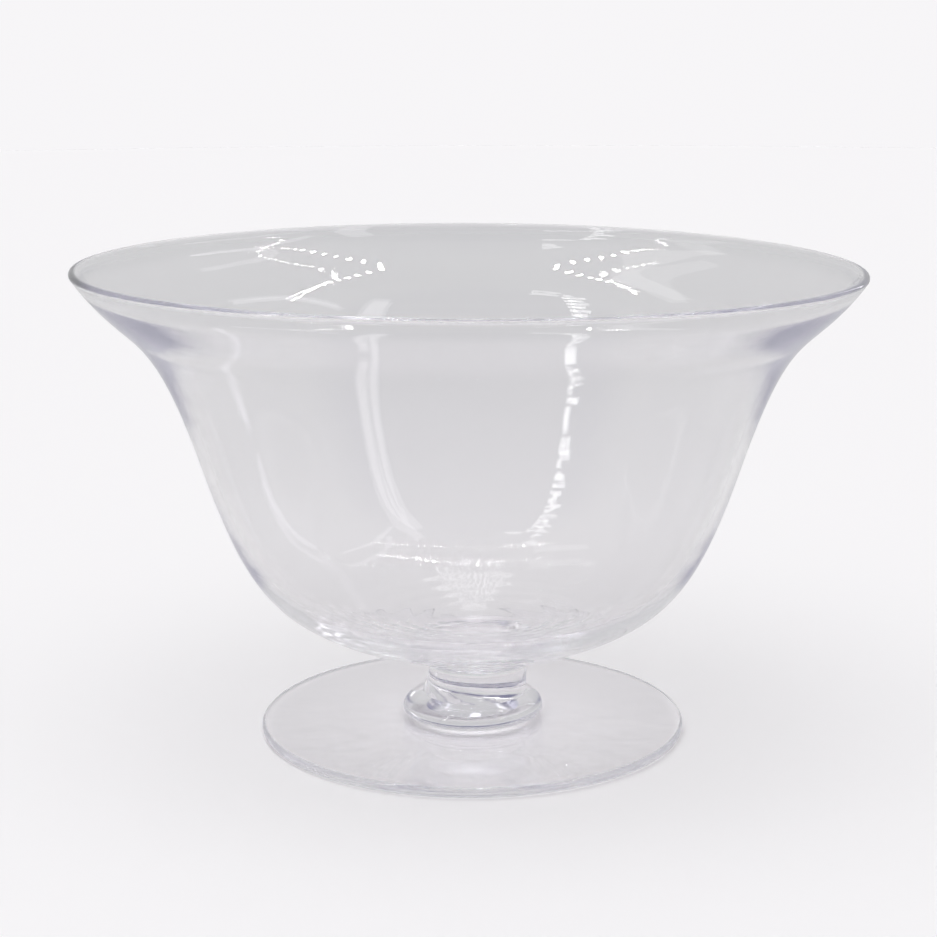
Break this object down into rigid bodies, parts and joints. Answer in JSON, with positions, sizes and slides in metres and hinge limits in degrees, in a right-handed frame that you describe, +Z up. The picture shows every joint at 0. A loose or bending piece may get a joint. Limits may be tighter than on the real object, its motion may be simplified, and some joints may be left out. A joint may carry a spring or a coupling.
{
  "type": "footed salad bowl",
  "caption": "Flared clear-glass serving bowl with a rounded lip, standing on a waisted collar, a squat knop and a flat disc foot.",
  "frame": {"origin": "centre of the foot's underside, on the surface that the bowl stands on", "axes": "+Z up along the axis of revolution; -Y faces the viewer of the picture and +X is to the viewer's right"},
  "size_m": [0.25, 0.25, 0.153],
  "materials": {
    "clear_glass": "fire-polished, clear and uncoloured"
  },
  "bodies": {
    "root": {"bowl": "clear_glass", "neck_collar": "clear_glass", "stem_knop": "clear_glass", "foot": "clear_glass"}
  },
  "joints": []
}
